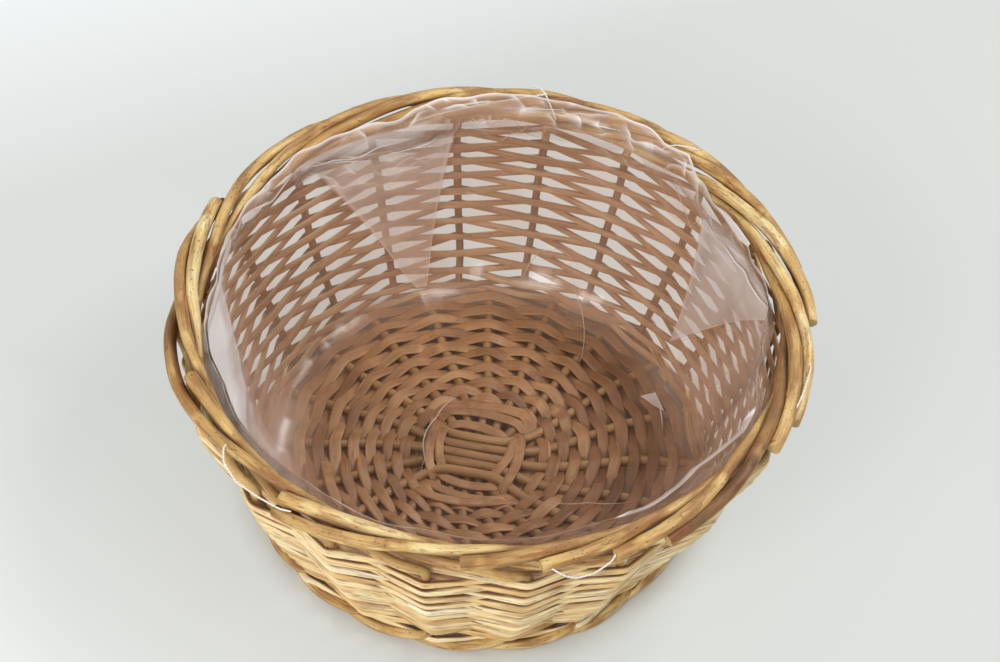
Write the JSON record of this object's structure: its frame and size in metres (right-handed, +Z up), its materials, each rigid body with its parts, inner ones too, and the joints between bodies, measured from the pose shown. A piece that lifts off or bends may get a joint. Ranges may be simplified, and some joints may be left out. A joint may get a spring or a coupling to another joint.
{
  "type": "gift basket",
  "caption": "Round woven willow gift basket with a rolled rope border, flared wall, twisted foot, flat woven base and a sewn-in clear film liner.",
  "frame": {"origin": "on the floor under the middle of the basket", "axes": "+Z up out of the basket's mouth; -Y is the side that faces the viewer"},
  "size_m": [0.2972, 0.2971, 0.1156],
  "materials": {
    "willow_rod": "peeled whole willow rod, satin, straw yellow with small brown bud scars",
    "willow_strip": "split willow, cream outside and browner inside, fine grain along its length",
    "willow_stick": "peeled willow rod, satin, golden brown",
    "willow_skein": "flat shaved willow, matt brown with fine grain",
    "clear_film": "thin clear film, glossy, with soft creases",
    "white_thread": "white twisted sewing thread, matt"
  },
  "bodies": {
    "root": {"stake_01": "willow_rod", "stake_02": "willow_rod", "stake_03": "willow_rod", "stake_04": "willow_rod", "stake_05": "willow_rod", "stake_06": "willow_rod", "stake_07": "willow_rod", "stake_08": "willow_rod", "stake_09": "willow_rod", "stake_10": "willow_rod", "stake_11": "willow_rod", "stake_12": "willow_rod", "stake_13": "willow_rod", "stake_14": "willow_rod", "stake_15": "willow_rod", "stake_16": "willow_rod", "stake_17": "willow_rod", "stake_18": "willow_rod", "stake_19": "willow_rod", "stake_20": "willow_rod", "wall_weaver_01": "willow_strip", "wall_weaver_02": "willow_strip", "wall_weaver_03": "willow_strip", "wall_weaver_04": "willow_strip", "wall_weaver_05": "willow_strip", "wall_weaver_06": "willow_strip", "wall_weaver_07": "willow_strip", "wall_weaver_08": "willow_strip", "wall_weaver_09": "willow_strip", "wall_weaver_10": "willow_strip", "wall_weaver_11": "willow_strip", "wall_weaver_12": "willow_strip", "base_stick_upper_1": "willow_stick", "base_stick_upper_2": "willow_stick", "base_stick_upper_3": "willow_stick", "base_stick_upper_4": "willow_stick", "base_stick_upper_5": "willow_stick", "base_stick_lower_1": "willow_stick", "base_stick_lower_2": "willow_stick", "base_stick_lower_3": "willow_stick", "base_stick_lower_4": "willow_stick", "base_stick_lower_5": "willow_stick", "base_skein_1": "willow_skein", "base_skein_2": "willow_skein", "base_skein_3": "willow_skein", "base_skein_4": "willow_skein", "base_skein_5": "willow_skein", "base_skein_6": "willow_skein", "base_tie_1": "willow_skein", "base_tie_2": "willow_skein", "film_liner": "clear_film", "liner_stitch_1": "white_thread", "liner_stitch_2": "white_thread", "liner_stitch_3": "white_thread", "liner_stitch_4": "white_thread"}
  },
  "joints": []
}
